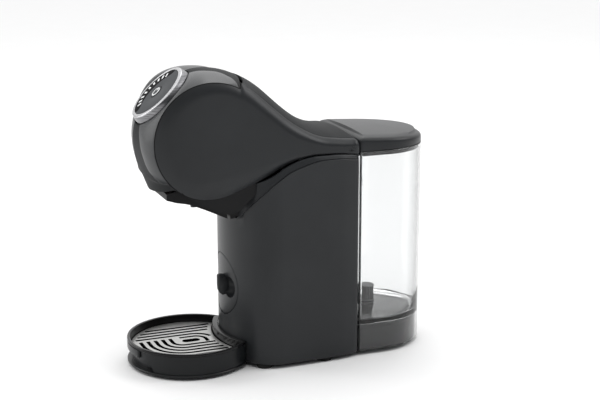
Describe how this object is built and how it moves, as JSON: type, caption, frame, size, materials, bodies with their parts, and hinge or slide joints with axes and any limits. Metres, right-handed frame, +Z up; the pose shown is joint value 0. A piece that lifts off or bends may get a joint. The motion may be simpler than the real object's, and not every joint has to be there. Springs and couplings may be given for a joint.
{
  "type": "pod coffee machine",
  "caption": "Free-standing pod coffee machine with a swing-up lock handle, ring dial, sliding capsule holder, drip tray and lift-off water tank.",
  "frame": {"origin": "middle of the footprint at table height, under the feet", "axes": "+Z up, -Y towards the user, +X to the user's right"},
  "size_m": [0.115, 0.287, 0.2733],
  "materials": {
    "charcoal": "satin",
    "visor": "satin",
    "black": "matte",
    "rubber": "matte",
    "seal": "matte",
    "steel": "brushed",
    "ring": "brushed",
    "grid": "satin",
    "aluminium": "cast",
    "face": "satin",
    "white": "lit",
    "board": "satin",
    "ivory": "satin",
    "grey": "satin",
    "clear": "polished"
  },
  "bodies": {
    "machine": {"base_plate": "charcoal", "base_feet": "rubber", "base_screws": "steel", "body_shell": "charcoal", "rear_wall": "charcoal", "tank_platform": "charcoal", "tank_latch": "black", "inlet_seat": "grey", "seat_seal": "rubber", "cord_gland": "rubber", "head_shell_right": "charcoal", "head_shell_left": "charcoal", "head_screws": "steel", "brew_housing": "black", "injector": "ivory", "injector_seal": "seal", "pivot_pins": "steel", "inner_frame": "grey", "water_pump": "ivory", "pump_mounts": "rubber", "heater_block": "aluminium", "flow_meter": "ivory", "main_board": "board", "supply_hose": "rubber", "inlet_hose": "ivory", "pump_hose": "ivory", "brew_hose": "ivory"},
    "lock_handle": {"handle_visor": "visor", "handle_brackets": "grey", "dial_housing": "black", "dial_face": "face", "light_bars": "white", "display_board": "board", "button_spring": "steel"},
    "selector": {"control_ring": "ring"},
    "power_key": {"start_button": "face", "button_mark": "white"},
    "holder": {"capsule_holder": "black", "holder_spout": "black"},
    "tray": {"drip_tray": "charcoal", "tray_pads": "rubber"},
    "grid": {"drip_grid": "grid"},
    "tool": {"rinsing_tool": "charcoal"},
    "tank": {"water_tank": "clear", "tank_hook": "clear", "tank_valve": "grey", "valve_seal": "rubber", "inlet_filter": "grey"},
    "lid": {"tank_lid": "charcoal"}
  },
  "joints": [
    {"name": "lock_handle_hinge", "type": "hinge", "parent": "machine", "child": "lock_handle", "pos_m": [0, -0.076, 0.214], "axis": [-1, 0, 0], "range_deg": [0, 46]},
    {"name": "selector_turn", "type": "hinge", "parent": "lock_handle", "child": "selector", "pos_m": [0, -0.1118, 0.2532], "axis": [0, -0.6947, 0.7193], "continuous": true},
    {"name": "start_button_press", "type": "slide", "parent": "lock_handle", "child": "power_key", "axis": [0, 0.6947, -0.7193], "range_m": [0, 0.0012], "stiffness_N_per_m": 900, "springref_m": -0.0004},
    {"name": "capsule_holder_slide", "type": "slide", "parent": "machine", "child": "holder", "axis": [0, -0.9848, -0.1736], "range_m": [0, 0.06]},
    {"name": "drip_tray_slide", "type": "slide", "parent": "machine", "child": "tray", "axis": [0, -1, 0], "range_m": [0, 0.06]},
    {"name": "drip_grid_lift", "type": "slide", "parent": "tray", "child": "grid", "axis": [0, 0, 1], "range_m": [0, 0.015]},
    {"name": "rinsing_tool_pull", "type": "slide", "parent": "machine", "child": "tool", "axis": [0, -1, 0], "range_m": [0, 0.025]},
    {"name": "tank_lift", "type": "slide", "parent": "machine", "child": "tank", "axis": [0, 0, 1], "range_m": [0, 0.045]},
    {"name": "tank_lid_lift", "type": "slide", "parent": "tank", "child": "lid", "axis": [0, 0, 1], "range_m": [0, 0.025]}
  ]
}
